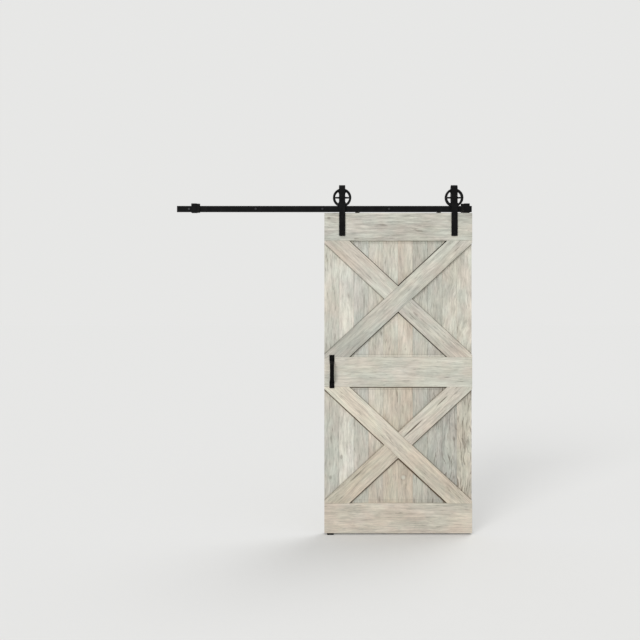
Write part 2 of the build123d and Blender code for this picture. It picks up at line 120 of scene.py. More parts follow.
# Knots and long cracks that stand out, each by how far right of and below the leaf's top left corner
# it is, its half length along the grain, its half width and how dark it is
MARKS = {
    "top_rail": ((0.028, 0.0315, 0.011, 0.007, 0.45), (0.318, 0.161, 0.160, 0.0035, 0.3)),
    "board_01": ((0.038, 1.640, 0.013, 0.007, 0.35),),
    "board_02": ((0.106, 1.513, 0.014, 0.008, 0.4),),
    "board_06": ((0.490, 1.640, 0.023, 0.018, 0.22),),
    "board_10": ((0.860, 1.365, 0.090, 0.004, 0.4), (0.872, 1.415, 0.080, 0.003, 0.4)),
    "lower_brace_half_above": (
        (0.547, 1.335, 0.078, 0.0042, 0.95),
        (0.726, 1.164, 0.045, 0.0033, 0.8),
    ),
    "lower_brace_half_below": (
        (0.196, 1.628, 0.045, 0.0045, 0.5),
        (0.222, 1.600, 0.085, 0.0028, 0.4),
    ),
}

# A knot filled with whitewash, given as the marks are, with how pale it is
FILLED = {"board_06": ((0.490, 1.640, 0.013, 0.0135, 0.6),)}

# The leaf's layout, read from the frame
LEAF_LOW, LEAF_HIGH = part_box("board_01")[0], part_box("board_10")[1]
TOP_RAIL_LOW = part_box("top_rail")[0].z
MIDDLE_RAIL_LOW, MIDDLE_RAIL_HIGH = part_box("middle_rail")[0].z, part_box("middle_rail")[1].z
OVERLAY_FRONT, BOARDS_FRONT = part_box("top_rail")[0].y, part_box("top_rail")[1].y
LEAF_CENTRE_X = (LEAF_LOW.x + LEAF_HIGH.x) / 2
FLOOR_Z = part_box("floor_guide")[0].z

# The braces' slope, from their width and the short cut at the leaf's sides
BRACE_WIDTH = 0.1143
BRACE_SIDE_CUT = 0.014
PANEL_HALF_WIDTH = (LEAF_HIGH.x - LEAF_LOW.x) / 2
PANEL_HALF_HEIGHT = (TOP_RAIL_LOW - MIDDLE_RAIL_HIGH) / 2
BRACE_RISE = PANEL_HALF_HEIGHT - BRACE_SIDE_CUT
BRACE_SLOPE = math.atan2(BRACE_RISE, PANEL_HALF_WIDTH)
BRACE_SLOPE += math.asin(BRACE_WIDTH / 2 / math.hypot(PANEL_HALF_WIDTH, BRACE_RISE))
UPRIGHT = math.pi / 2


class Finish:
    """A new material, with short ways to add nodes to it."""

    def __init__(self, name):
        self.material = bpy.data.materials.new(name)
        self.material.use_nodes = True
        self.tree = self.material.node_tree
        self.surface = self.tree.nodes["Principled BSDF"]

    def feed(self, socket, value):
        """Links a socket or sets its value, with an alpha of 1 where a colour has none."""
        if isinstance(value, bpy.types.NodeSocket):
            self.tree.links.new(value, socket)
        elif isinstance(value, tuple) and len(value) < len(getattr(socket, "default_value", value)):
            socket.default_value = (*value, 1.0)
        else:
            socket.default_value = value

    def add(self, kind, inputs, **settings):
        """A node with its settings, and its inputs by name or number."""
        node = self.tree.nodes.new("ShaderNode" + kind)
        for key, value in settings.items():
            setattr(node, key, value)
        for key, value in inputs.items():
            self.feed(node.inputs[key], value)
        return node

    def math(self, operation, *values):
        """The result of one sum on numbers."""
        return self.add("Math", dict(enumerate(values)), operation=operation).outputs[0]

    def plus(self, one, two):
        """One number and another."""
        return self.math("ADD", one, two)

    def minus(self, one, two):
        """One number less another."""
        return self.math("SUBTRACT", one, two)

    def times(self, one, two):
        """One number times another."""
        return self.math("MULTIPLY", one, two)

    def times_plus(self, one, two, three):
        """One number times another, and a third."""
        return self.math("MULTIPLY_ADD", one, two, three)

    def size(self, value):
        """A number without its sign."""
        return self.math("ABSOLUTE", value)

    def most(self, one, two):
        """The larger of two numbers."""
        return self.math("MAXIMUM", one, two)

    def place(self):
        """The point's place on its object, which is its place in the frame at rest."""
        return self.add("TexCoord", {}).outputs["Object"]

    def split(self, vector):
        """The three parts of a place."""
        return self.add("SeparateXYZ", {0: vector}).outputs

    def join(self, x, y, z):
        """A place from its three parts."""
        return self.add("CombineXYZ", {0: x, 1: y, 2: z}).outputs[0]

    def vector(self, operation, one, two):
        """The result of one sum on places."""
        return self.add("VectorMath", {0: one, 1: two}, operation=operation).outputs[0]

    def stretched(self, place, factors):
        """The place with each axis multiplied, for long or fine noise."""
        return self.vector("MULTIPLY", place, factors)

    def shifted(self, place, shift, seed):
        """The place moved by a seed's share of a shift, so that no two pieces look alike."""
        return self.vector("ADD", place, tuple(seed * part for part in shift))

    def noise(self, place, scale, detail=2.0, roughness=0.5):
        """Soft noise from 0 to 1."""
        inputs = {"Vector": place, "Scale": scale, "Detail": detail, "Roughness": roughness}
        return self.add("TexNoise", inputs).outputs[0]

    def grain_noise(self, place, kind):
        """Noise along the grain, from its squeeze on each axis, its detail and its roughness."""
        squeeze, detail, roughness = kind
        return self.noise(self.stretched(place, squeeze), 1.0, detail, roughness)

    def step(self, value, low, high, to_low=0.0, to_high=1.0):
        """A smooth step between two values."""
        inputs = {0: value, 1: low, 2: high, 3: to_low, 4: to_high}
        return self.add("MapRange", inputs, interpolation_type="SMOOTHSTEP").outputs[0]

    def mix(self, share, one, two, blend="MIX"):
        """A mix of two colours."""
        node = self.add("Mix", {0: share, 6: one, 7: two}, data_type="RGBA", blend_type=blend)
        return node.outputs[2]

    def tinted(self, colour, tint):
        """A colour times another."""
        return self.mix(1.0, colour, tint, "MULTIPLY")

    def bump(self, height, depth, strength):
        """Feeds a height in shares of a depth in metres to the surface's normal."""
        inputs = {"Strength": strength, "Distance": depth, "Height": height}
        self.feed(self.surface.inputs["Normal"], self.add("Bump", inputs).outputs[0])

    def set(self, **values):
        """Values of the surface's own sockets, with _ for each space."""
        for key, value in values.items():
            self.feed(self.surface.inputs[key.replace("_", " ")], value)


# The range in which noise mostly stays
NOISE_RANGE = (0.3, 0.7)

# Knots: how many cells a metre has along and across the grain, how far a piece's seed moves them,
# the share of cells without a knot, how fast a radius grows with what its cell draws beyond that share,
# how long a knot is for its width, how ragged and how soft its edge is, and how many times its radius
# away the grain still bends round it. The last two keep the sums sound where there is no knot.
KNOT_CELLS = (1.5, 6.0, 1.0)
KNOT_SHIFT = (3.7, 1.3, 0.0)
KNOTLESS_SHARE = 0.70
KNOT_GROWTH = 0.022
KNOT_LENGTH = 1.7
KNOT_WOBBLE_SCALE = 90.0
KNOT_WOBBLE = 1.1
KNOT_LEAST = 0.45
KNOT_EDGE = 0.003
KNOT_REACH = 7.0
LEAST_REACH = 0.001
LEAST_SQUARE = 1e-7


def knots(finish, along, across, seed):
    """Where the knots are: how much of one each point holds, and how far the grain bends round it."""
    flat = finish.join(along, across, 0.0)
    cells = finish.stretched(finish.shifted(flat, KNOT_SHIFT, seed), KNOT_CELLS)
    voronoi = finish.add("TexVoronoi", {"Vector": cells, "Scale": 1.0}, voronoi_dimensions="2D")
    away = finish.vector("SUBTRACT", cells, voronoi.outputs["Position"])
    ahead, aside, _ = finish.split(finish.stretched(away, tuple(1 / size for size in KNOT_CELLS)))
    squared = finish.times_plus(aside, aside, LEAST_SQUARE)
    squared = finish.times_plus(finish.times(ahead, 1 / KNOT_LENGTH ** 2), ahead, squared)
    distance = finish.math("SQRT", squared)

    chance = finish.add("SeparateColor", {0: voronoi.outputs["Color"]}).outputs[0]
    radius = finish.times(finish.most(finish.minus(chance, KNOTLESS_SHARE), 0.0), KNOT_GROWTH)
    wobble = finish.noise(flat, KNOT_WOBBLE_SCALE, 3.0)
    edge = finish.times(radius, finish.times_plus(wobble, KNOT_WOBBLE, KNOT_LEAST))
    inside = finish.step(finish.minus(edge, distance), 0.0, KNOT_EDGE)

    near = finish.step(distance, finish.times_plus(radius, KNOT_REACH, LEAST_REACH), radius)
    pull = finish.math("DIVIDE", finish.times(radius, radius), squared)
    bend = finish.times(finish.math("MINIMUM", pull, 1.0), near)
    return inside, finish.times(finish.times(aside, bend), -1.0)


# The squares of the distances from a mark's middle, in shares of its size, at which it ends
# and at which it is darkest
MARK_END = 1.6
MARK_CORE = 0.3


def mark(finish, along, across, angle, facts):
    """How much of one knot or crack each point holds."""
    right, down, half_length, half_width, share = facts
    x, z = LEAF_LOW.x + right, LEAF_HIGH.z - down
    centre_along = x * math.cos(angle) + z * math.sin(angle)
    centre_across = z * math.cos(angle) - x * math.sin(angle)
    ends = finish.times(finish.minus(along, centre_along), 1 / half_length)
    sides = finish.times(finish.minus(across, centre_across), 1 / half_width)
    apart = finish.times_plus(ends, ends, finish.times(sides, sides))
    return finish.step(apart, MARK_END, MARK_CORE, 0.0, share)


# The shadow beside a brace: how far from it the shadow starts to fade and ends, how much wider it is
# under the lower panel's braces, how much more in the lowest triangle, the share that the faint ones
# keep in each panel, and the noise that makes it uneven
SHADOW_NEAR = 0.0046
SHADOW_FAR = 0.0072
SHADOW_UNDER = 0.003
SHADOW_LOWEST = 0.0045
FAINT_ABOVE = 0.45
FAINT_BELOW = 0.35
UNEVEN_SCALE = 7.0
UNEVEN_STEP = (0.3, 0.6)
UNEVEN_LEAST = 0.82


def brace_shadow(finish, place, upper, rise, above):
    """How dark the shadow beside the braces is.

    Above is how far a point is from the middle line of the brace next to it, and less than zero in the
    triangles left and right of a cross. In the upper panel the triangles above and below the cross have
    the strong shadows, and in the lower panel these run along the undersides of the braces.
    """
    outer = finish.math("GREATER_THAN", above, 0.0)
    high = finish.math("GREATER_THAN", rise, 0.0)
    apart = finish.minus(outer, high)
    under = finish.size(apart)
    wider = finish.times(finish.most(apart, 0.0), SHADOW_LOWEST)
    wider = finish.times_plus(under, SHADOW_UNDER, wider)
    far = finish.times_plus(wider, finish.minus(1.0, upper), SHADOW_FAR)
    gap = finish.minus(finish.size(above), BRACE_WIDTH / 2)
    shadow = finish.step(gap, far, SHADOW_NEAR)

    in_upper = finish.times_plus(outer, 1 - FAINT_ABOVE, FAINT_ABOVE)
    in_lower = finish.times_plus(under, 1 - FAINT_BELOW, FAINT_BELOW)
    strength = finish.plus(in_lower, finish.times(upper, finish.minus(in_upper, in_lower)))
    uneven = finish.step(finish.noise(place, UNEVEN_SCALE), *UNEVEN_STEP, UNEVEN_LEAST, 1.0)
    return finish.times(finish.times(shadow, strength), uneven)


# The level lines: a faint dark one beside each rail, a painted shadow under the middle rail and a painted
# highlight above it, with the distances between which they fade, their shares, and the depths in the
# boards between which they end
FAINT_LINE_INSET = 0.017
FAINT_LINE_EDGES = (0.0026, 0.0006)
FAINT_LINE_SHARE = 0.25
SHADE_UNDER_RAIL_EDGES = (0.0075, 0.0050)
LIT_START = (0.002, 0.004)
LIT_END = (0.010, 0.008)
LIT_SHARE = 0.7
DEEPEST = 0.005
SHALLOWEST = 0.0025


def panel_lines(finish, place):
    """The painted shade and faint lines beside braces and rails, their colour, and the painted highlight.
    """
    x, y, z = finish.split(place)
    middle = (MIDDLE_RAIL_LOW + MIDDLE_RAIL_HIGH) / 2
    centre = (MIDDLE_RAIL_HIGH + TOP_RAIL_LOW) / 2 - middle
    from_middle = finish.minus(z, middle)
    upper = finish.math("GREATER_THAN", from_middle, 0.0)
    rise = finish.minus(from_middle, finish.times_plus(upper, 2 * centre, -centre))
    up = finish.size(rise)
    across = finish.size(finish.minus(x, LEAF_CENTRE_X))
    sloped = finish.times(across, -math.sin(BRACE_SLOPE))
    above = finish.times_plus(up, math.cos(BRACE_SLOPE), sloped)
    shadow = brace_shadow(finish, place, upper, rise, above)

    # A faint dark line a little inside each rail's edge, drawn in the painted shade's colour
    faint_line_gap = finish.size(finish.minus(up, PANEL_HALF_HEIGHT - FAINT_LINE_INSET))
    faint = finish.times(finish.step(faint_line_gap, *FAINT_LINE_EDGES), FAINT_LINE_SHARE)
    below_rail = finish.minus(MIDDLE_RAIL_LOW, z)
    # A painted shadow on the boards just under the middle rail
    shade_under_rail = finish.times(finish.step(below_rail, *SHADE_UNDER_RAIL_EDGES), finish.minus(1.0, upper))
    above_rail = finish.minus(z, MIDDLE_RAIL_HIGH)
    # A painted highlight on the boards just above the middle rail
    lit = finish.times(finish.step(above_rail, *LIT_START), finish.step(above_rail, *LIT_END))
    front = finish.step(y, BOARDS_FRONT + DEEPEST, BOARDS_FRONT + SHALLOWEST)
    # The painted shade and the faint lines together, on the boards' front only
    dark = finish.most(finish.most(shadow, faint), shade_under_rail)
    # The painted shade is browner in the lower panel
    tone = finish.mix(upper, PAINTED_SHADE_BROWN, PAINTED_SHADE_DARK)
    return finish.times(dark, front), tone, finish.times(finish.times(lit, front), LIT_SHARE)


# Noise in the grain's own directions: its squeeze along, through and across the piece, its detail
# and its roughness
WANDER_NOISE = ((4.0, 1.0, 9.0), 3.0, 0.5)
DRIFT_NOISE = ((1.6, 4.0, 9.0), 3.0, 0.6)
PATCH_NOISE = ((4.0, 10.0, 11.0), 4.0, 0.6)
TINT_NOISE = ((5.0, 9.0, 9.0), 3.0, 0.55)
STAIN_NOISE = ((7.0, 15.0, 16.0), 3.0, 0.55)
SMUDGE_NOISE = ((16.0, 30.0, 34.0), 4.0, 0.65)
BOARD_STREAK_NOISE = ((9.0, 55.0, 75.0), 4.0, 0.7)
OVERLAY_STREAK_NOISE = ((5.0, 55.0, 85.0), 4.0, 0.7)
FIBRE_NOISE = ((22.0, 420.0, 560.0), 3.0, 0.65)
PORE_NOISE = ((14.0, 150.0, 250.0), 3.0, 0.6)
CRACK_NOISE = ((13.0, 60.0, 115.0), 2.0, 0.5)
RUB_NOISE = ((9.0, 20.0, 60.0), 4.0, 0.65)
FIBRE_STEP = (0.36, 0.64)
PORE_STEP = (0.54, 0.66)

# How far the grain wanders off its line, and how far each piece's seed moves its noise
BOARD_WANDER = 0.035
OVERLAY_WANDER = 0.018
WORN_WANDER = 0.05
OWN_SHIFT = (1.9, 0.0, 0.7)
FLOW_SHIFT = (1.9, 0.7, 0.0)

# Growth rings: how far apart they are, how deep under the surface the log's heart lies, how far
# they drift, and how much of the half ring on each side of the late wood is early wood
RING_PITCH = 0.0056
HEART_DEPTH = 0.055
RING_DRIFT = 0.045
HALF_RING = 0.5
EARLY_WOOD = 0.30

# How strongly the grain shows
BOARD_CONTRAST = 1.3
OVERLAY_CONTRAST = 1.35
RAIL_CONTRAST = {"top_rail": 1.9, "middle_rail": 1.1}


class Grain:
    """The grain of one piece of wood: where it runs, and the noise that draws it."""

    def __init__(self, finish, piece, angle, seed, heart):
        is_board = piece.startswith("board")
        self.angle = angle
        self.worn = 1.0 if piece in MOST_WORN else 0.0
        self.contrast = BOARD_CONTRAST if is_board else RAIL_CONTRAST.get(piece, OVERLAY_CONTRAST)
        turn = {"Vector": finish.place(), "Angle": angle}
        turned = finish.add("VectorRotate", turn, rotation_type="Y_AXIS").outputs[0]
        self.along, depth, self.across = finish.split(turned)
        self.knot, bend = knots(finish, self.along, self.across, seed)

        # Own is the plain place, and flow the place along a grain that wanders and bends round knots
        self.own = finish.shifted(turned, OWN_SHIFT, seed)
        waviness = (BOARD_WANDER if is_board else OVERLAY_WANDER) + self.worn * WORN_WANDER
        wander = finish.minus(finish.grain_noise(self.own, WANDER_NOISE), 0.5)
        bent = finish.plus(finish.plus(self.across, bend), finish.times(wander, waviness))
        self.flow = finish.shifted(finish.join(self.along, depth, bent), FLOW_SHIFT, seed)

        self.rings = self.growth_rings(finish, bent, heart)
        self.patches = finish.grain_noise(self.flow, PATCH_NOISE)
        streak_noise = BOARD_STREAK_NOISE if is_board else OVERLAY_STREAK_NOISE
        self.streaks = finish.grain_noise(self.flow, streak_noise)
        self.fibres = finish.step(finish.grain_noise(self.flow, FIBRE_NOISE), *FIBRE_STEP)
        self.pores = finish.step(finish.grain_noise(self.flow, PORE_NOISE), *PORE_STEP)
        self.rub = finish.grain_noise(self.flow, RUB_NOISE)

    def growth_rings(self, finish, bent, heart):
        """The late wood of the rings round the log's heart."""
        drift = finish.grain_noise(self.flow, DRIFT_NOISE)
        side = finish.minus(bent, heart)
        reach = finish.math("SQRT", finish.times_plus(side, side, HEART_DEPTH ** 2))
        reach = finish.times_plus(drift, RING_DRIFT, reach)
        rings = finish.math("PINGPONG", finish.times(reach, 1 / RING_PITCH), HALF_RING)
        return finish.step(rings, EARLY_WOOD, HALF_RING)


# How raggedly the two tones of a piece meet, and the shares of its length between which they do
TONE_RAGGED = 0.6
TONE_START = 0.2
TONE_END = 0.8

# Faint tints, each from one to the other over the same range of its noise
TINT_STEP = (0.36, 0.64)
WARM, COOL = (1.018, 1.004, 0.994), (0.988, 1.014, 1.030)
RUDDY, GREENISH = (1.015, 0.988, 0.992), (0.985, 1.010, 1.0)


def wash(finish, grain, tones, ends):
    """The whitewash's colour without its grain, and how worn each point is."""
    start, end = ends
    length = end - start
    ragged = finish.times_plus(finish.minus(grain.patches, 0.5), length * TONE_RAGGED, grain.along)
    shift = finish.step(ragged, start + length * TONE_START, start + length * TONE_END)
    colour = finish.mix(shift, *tones)
    for kind, one, two in ((TINT_NOISE, WARM, COOL), (STAIN_NOISE, RUDDY, GREENISH)):
        tint = finish.step(finish.grain_noise(grain.own, kind), *TINT_STEP)
        colour = finish.tinted(colour, finish.mix(tint, one, two))
    return colour, finish.times(finish.minus(1.0, shift), grain.worn)


# How much darker and lighter the patches and streaks make the wood, at a contrast of 1,
# and how much the fibres, pores and late wood change it
PATCH_STEP = (0.36, 0.66)
PATCH_LOSS = 0.06
PATCH_GAIN = 0.075
STREAK_STEP = (0.28, 0.72)
STREAK_LOSS = 0.135
STREAK_GAIN = 0.12
FIBRE_GAIN = 0.14
FIBRE_LOSS = 0.05
PORE_LOSS = 0.15
RING_LOSS = 0.07


def grain_shade(finish, grain):
    """How light or dark the grain makes each point, as a grey to tint with."""
    loss, gain = PATCH_LOSS * grain.contrast, PATCH_GAIN * grain.contrast
    pale = finish.step(grain.patches, *PATCH_STEP, 1 - loss, 1 + gain)
    loss, gain = STREAK_LOSS * grain.contrast, STREAK_GAIN * grain.contrast
    shade = finish.times(finish.step(grain.streaks, *STREAK_STEP, 1 - loss, 1 + gain), pale)
    shade = finish.times_plus(grain.fibres, FIBRE_GAIN, finish.minus(shade, FIBRE_LOSS))
    shade = finish.times_plus(grain.pores, -PORE_LOSS, shade)
    shade = finish.times_plus(grain.rings, -RING_LOSS, shade)
    return finish.add("CombineColor", {0: shade, 1: shade, 2: shade}).outputs[0]


# Where smudges and rubbed places show, and the share of the colour that they and the splits take
# on sound wood, with what full wear adds to it
SMUDGE_STEP = (0.54, 0.74)
SMUDGE_SHARE, SMUDGE_WEAR = 0.25, 0.35
RUB_STEP = (0.60, 0.72)
RUB_SHARE, RUB_WEAR = 0.3, 0.25
SPLIT_SHARE, SPLIT_WEAR = 0.45, 0.12

# The crack noise at which splits start, what full wear adds to it, the width of their edges,
# and the patches between which they come in on sound wood
SPLIT_START, SPLIT_START_WEAR = 0.625, -0.06
SPLIT_EDGE = 0.08
SPLIT_PATCHES = (0.62, 0.42)


def wear_down(finish, grain, colour, wear):
    """The colour with smudges, rubbed places and splits, and where the splits are."""
    smudge = finish.step(finish.grain_noise(grain.own, SMUDGE_NOISE), *SMUDGE_STEP)
    smudge = finish.times(smudge, finish.times_plus(wear, SMUDGE_WEAR, SMUDGE_SHARE))
    colour = finish.mix(smudge, colour, SMUDGE)
    rubbed = finish.times(finish.step(grain.rub, *RUB_STEP), finish.times_plus(wear, RUB_WEAR, RUB_SHARE))
    colour = finish.mix(rubbed, colour, WORN_THROUGH)

    cracks = finish.grain_noise(grain.flow, CRACK_NOISE)
    start = finish.times_plus(wear, SPLIT_START_WEAR, SPLIT_START)
    split = finish.step(finish.minus(cracks, start), 0.0, SPLIT_EDGE)
    split = finish.times(split, finish.most(finish.step(grain.patches, *SPLIT_PATCHES), wear))
    split = finish.times(split, finish.times_plus(wear, SPLIT_WEAR, SPLIT_SHARE))
    return finish.mix(split, colour, DARK_GRAIN), split


# How dark the random knots are, how far the streaks fray a mark's edge, and the end grain:
# how squarely a surface has to face along the grain, and how much bare wood shows there
KNOT_DARKNESS = 0.32
MARK_FRAY = 0.006
END_STEP = (0.6, 0.9)
END_SHARE = 0.3
END_RINGS = 0.35


def add_marks(finish, piece, grain, colour):
    """The colour with the random knots and the marks that stand out."""
    colour = finish.mix(finish.times(grain.knot, KNOT_DARKNESS), colour, KNOT_BROWN)
    frayed = finish.times_plus(finish.minus(grain.streaks, 0.5), MARK_FRAY, grain.across)
    for marks, tone in ((MARKS, DARK_GRAIN), (FILLED, FILLER)):
        for facts in marks.get(piece, ()):
            share = mark(finish, grain.along, frayed, grain.angle, facts)
            colour = finish.mix(share, colour, tone)
    return colour


def add_end_grain(finish, grain, colour):
    """The colour with bare end grain, where the surface faces along the grain."""
    normal = finish.add("NewGeometry", {}).outputs["True Normal"]
    line = (math.cos(grain.angle), 0.0, math.sin(grain.angle))
    facing = finish.add("VectorMath", {0: normal, 1: line}, operation="DOT_PRODUCT").outputs["Value"]
    ending = finish.step(finish.size(facing), *END_STEP)
    ending = finish.times(ending, finish.times_plus(grain.rings, END_RINGS, END_SHARE))
    return finish.mix(ending, colour, BARE_WOOD)


# How rough the wood is where it isn't rubbed and where it is, and how much it shines
WOOD_ROUGHNESS = (0.88, 0.7)
WOOD_SHINE = 0.2

# The relief: its depth and strength, and how much of it each kind of grain takes
RELIEF_DEPTH = 0.0012
RELIEF_STRENGTH = 0.6
STREAK_RELIEF = 0.6
FIBRE_RELIEF = 0.15
PORE_RELIEF = -0.25
SPLIT_RELIEF = -1.2
RING_RELIEF = 0.12


def wood(piece, angle, tones, seed, heart, ends):
    """Whitewashed wood for one piece, with its grain at an angle from the level."""
    finish = Finish(piece + "_wash")
    grain = Grain(finish, piece, angle, seed, heart)
    colour, wear = wash(finish, grain, tones, ends)
    colour = finish.tinted(colour, grain_shade(finish, grain))
    colour, split = wear_down(finish, grain, colour, wear)
    colour = add_marks(finish, piece, grain, colour)
    colour = add_end_grain(finish, grain, colour)
    if piece.startswith("board"):
        # Painted shade beside the braces and rails, and a painted highlight above the middle rail
        dark, tone, lit = panel_lines(finish, finish.place())
        colour = finish.mix(lit, colour, PAINTED_HIGHLIGHT)
        colour = finish.mix(dark, colour, tone)

    roughness = finish.step(grain.rub, *NOISE_RANGE, *WOOD_ROUGHNESS)
    finish.set(Base_Color=colour, Roughness=roughness, Specular_IOR_Level=WOOD_SHINE)
    height = finish.times_plus(grain.fibres, FIBRE_RELIEF, finish.times(grain.streaks, STREAK_RELIEF))
    height = finish.times_plus(grain.pores, PORE_RELIEF, height)
    height = finish.times_plus(split, SPLIT_RELIEF, height)
    height = finish.times_plus(grain.rings, RING_RELIEF, height)
    finish.bump(height, RELIEF_DEPTH, RELIEF_STRENGTH)
    return finish.material


# Metal, rubber and nylon: their tones from darkest to palest, and the dust on metal that faces up
DUST = (0.30, 0.29, 0.27)
DUST_SHARE = (0.02, 0.10)
FACING_UP = (0.6, 1.0)
RUBBER_TONES = ((0.006, 0.006, 0.006), (0.014, 0.013, 0.012))
NYLON_TONES = ((0.010, 0.010, 0.011), (0.017, 0.017, 0.018))
BRONZE_TONES = ((0.34, 0.21, 0.09), (0.52, 0.36, 0.17))
TURNING_MARKS = (40.0, 2600.0, 40.0)


def black_metal(name, dark, light, rough, grain, shine=0.10, metallic=0.0, depth=0.00008):
    """Black metal with an uneven finish: rough is its least and greatest roughness."""
    finish = Finish(name)
    place = finish.place()
    cloud = finish.noise(place, scale=28.0, detail=4.0, roughness=0.6)
    speck = finish.noise(place, scale=grain, detail=3.0, roughness=0.6)
    colour = finish.mix(finish.step(cloud, 0.35, 0.7), dark, light)

    # A little dust on what faces up
    up = finish.split(finish.add("NewGeometry", {}).outputs["Normal"])[2]
    dust = finish.times(finish.step(up, *FACING_UP), finish.step(cloud, *NOISE_RANGE, *DUST_SHARE))
    colour = finish.mix(dust, colour, DUST)

    finish.set(Base_Color=colour, Roughness=finish.step(speck, *NOISE_RANGE, *rough))
    finish.set(Specular_IOR_Level=shine, Metallic=metallic)
    finish.bump(speck, depth, strength=0.8)
    return finish.material


def rubber(name):
    """Matte black rubber with a faint bloom."""
    finish = Finish(name)
    place = finish.place()
    bloom = finish.noise(place, scale=60.0, detail=4.0, roughness=0.6)
    pores = finish.noise(place, scale=1500.0, detail=2.0)
    colour = finish.mix(finish.step(bloom, 0.4, 0.75), *RUBBER_TONES)
    roughness = finish.step(bloom, *NOISE_RANGE, to_low=0.72, to_high=0.86)
    finish.set(Base_Color=colour, Roughness=roughness, Specular_IOR_Level=0.12)
    finish.bump(pores, depth=0.0001, strength=0.7)
    return finish.material


def nylon(name):
    """Black moulded nylon with a fine spark-eroded skin."""
    finish = Finish(name)
    place = finish.place()
    skin = finish.noise(place, scale=1800.0, detail=3.0)
    cloud = finish.noise(place, scale=40.0, detail=3.0)
    roughness = finish.step(skin, *NOISE_RANGE, to_low=0.5, to_high=0.65)
    finish.set(Base_Color=finish.mix(cloud, *NYLON_TONES), Roughness=roughness, Specular_IOR_Level=0.2)
    finish.bump(skin, depth=0.00008, strength=0.6)
    return finish.material


def bronze(name):
    """Oiled bronze with turning marks."""
    finish = Finish(name)
    place = finish.place()
    turning = finish.noise(finish.stretched(place, TURNING_MARKS), scale=1.0, detail=2.0)
    oil = finish.noise(place, scale=90.0, detail=3.0)
    roughness = finish.step(oil, *NOISE_RANGE, to_low=0.25, to_high=0.42)
    finish.set(Base_Color=finish.mix(oil, *BRONZE_TONES), Roughness=roughness, Metallic=1.0)
    finish.bump(turning, depth=0.00004, strength=0.6)
    return finish.material


STEEL = black_metal(
    "powder_black",
    dark=(0.004, 0.004, 0.0044),
    light=(0.008, 0.008, 0.0084),
    rough=(0.5, 0.66),
    grain=900.0,
    shine=0.08,
)
# The pull's black is the powder coat painted darker than the strap's, a painted shade, and it shines less
PULL_SHADED = black_metal(
    "pull_black_shaded",
    dark=(0.003, 0.003, 0.003),
    light=(0.006, 0.006, 0.006),
    rough=(0.55, 0.7),
    grain=900.0,
    shine=0.04,
)
IRON = black_metal(
    "cast_black",
    dark=(0.005, 0.005, 0.0055),
    light=(0.010, 0.010, 0.0105),
    rough=(0.55, 0.72),
    grain=420.0,
    depth=0.00016,
)
BOLTS = black_metal(
    "oxide_black",
    dark=(0.034, 0.034, 0.036),
    light=(0.060, 0.060, 0.064),
    rough=(0.34, 0.5),
    grain=700.0,
    metallic=1.0,
)
DARK_BOLTS = black_metal(
    "coated_black",
    dark=(0.005, 0.005, 0.0055),
    light=(0.010, 0.010, 0.0105),
    rough=(0.45, 0.6),
    grain=700.0,
)
RUBBER = rubber("bumper_black")
NYLON = nylon("moulded_black")
BRONZE = bronze("oiled_bronze")


def dress(node, material):
    """Gives a piece of the frame its material in every slot."""
    for slot in NODES[node].material_slots:
        slot.material = material


# The log's heart lies up to this far beside a piece's middle, on a sine that turns by so many radians
# from one piece to the next. The seeds count up from the first one.
BOARD_HEART = 0.02
BOARD_HEART_TURN = 2.4
FIRST_BOARD_SEED = 1.0
OVERLAY_HEART = 0.03
OVERLAY_HEART_TURN = 1.7
OVERLAY_HEART_START = 1.0
FIRST_OVERLAY_SEED = 21.0


def dress_boards():
    """Every board, with its own grain, tones and wear."""
    for index, tones in enumerate(BOARD_TONES):
        piece = f"board_{index + 1:02d}"
        low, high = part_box(piece)
        heart = -(low.x + high.x) / 2 + BOARD_HEART * math.sin(index * BOARD_HEART_TURN)
        seed = index + FIRST_BOARD_SEED
        dress(piece, wood(piece, UPRIGHT, tones, seed, heart, (low.z, high.z)))


def dress_overlays():
    """Every rail and brace, with its own grain and tones."""
    for index, (piece, tones) in enumerate(OVERLAY_TONES.items()):
        low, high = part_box(piece)
        centre = (low + high) / 2
        slope = -BRACE_SLOPE if piece in FALLING_BRACES else BRACE_SLOPE
        angle = 0.0 if piece.endswith("rail") else slope
        along = centre.x * math.cos(angle) + centre.z * math.sin(angle)
        across = centre.z * math.cos(angle) - centre.x * math.sin(angle)
        reach = (high.x - low.x) / 2 / math.cos(angle)
        turn = index * OVERLAY_HEART_TURN + OVERLAY_HEART_START
        heart = across + OVERLAY_HEART * math.sin(turn)
        seed = index + FIRST_OVERLAY_SEED
        dress(piece, wood(piece, angle, tones, seed, heart, (along - reach, along + reach)))


# Every piece of metal, rubber and nylon: its material, its slot and how far in millimetres
# its edges are eased
HARDWARE = {
    "track_bar": (STEEL, "black_steel", 0.5),
    "track_standoffs": (STEEL, "black_steel", 0.5),
    "hanger_strap_left": (STEEL, "black_steel", 0.8),
    "hanger_strap_right": (STEEL, "black_steel", 0.8),
    "stop_block_left": (STEEL, "black_steel", 0.6),
    "stop_block_right": (STEEL, "black_steel", 0.6),
    "pull_handle": (PULL_SHADED, "black_steel", 0.9),
    "floor_guide": (STEEL, "black_steel", 0.4),
    "wheel_left": (IRON, "wheel_iron", 0.6),
    "wheel_right": (IRON, "wheel_iron", 0.6),
    "axle_bolts": (STEEL, "black_fastener", 0.5),
    "axle_nuts": (BOLTS, "black_fastener", 0.5),
    "stop_bumper_left": (RUBBER, "bumper_rubber", 0.8),
    "stop_bumper_right": (RUBBER, "bumper_rubber", 0.8),
    "anti_jump_discs": (NYLON, "black_nylon", 0.6),
}

# How near corners are welded, and the angles up to which a bend is flattened, from which it is eased
# and up to which it is shaded smooth
WELD = 0.00001
FLAT_ANGLE = math.radians(1)
EASED_ANGLE = math.radians(28)
SMOOTH_ANGLE = math.radians(40)
ROUND_PROFILE = 0.5


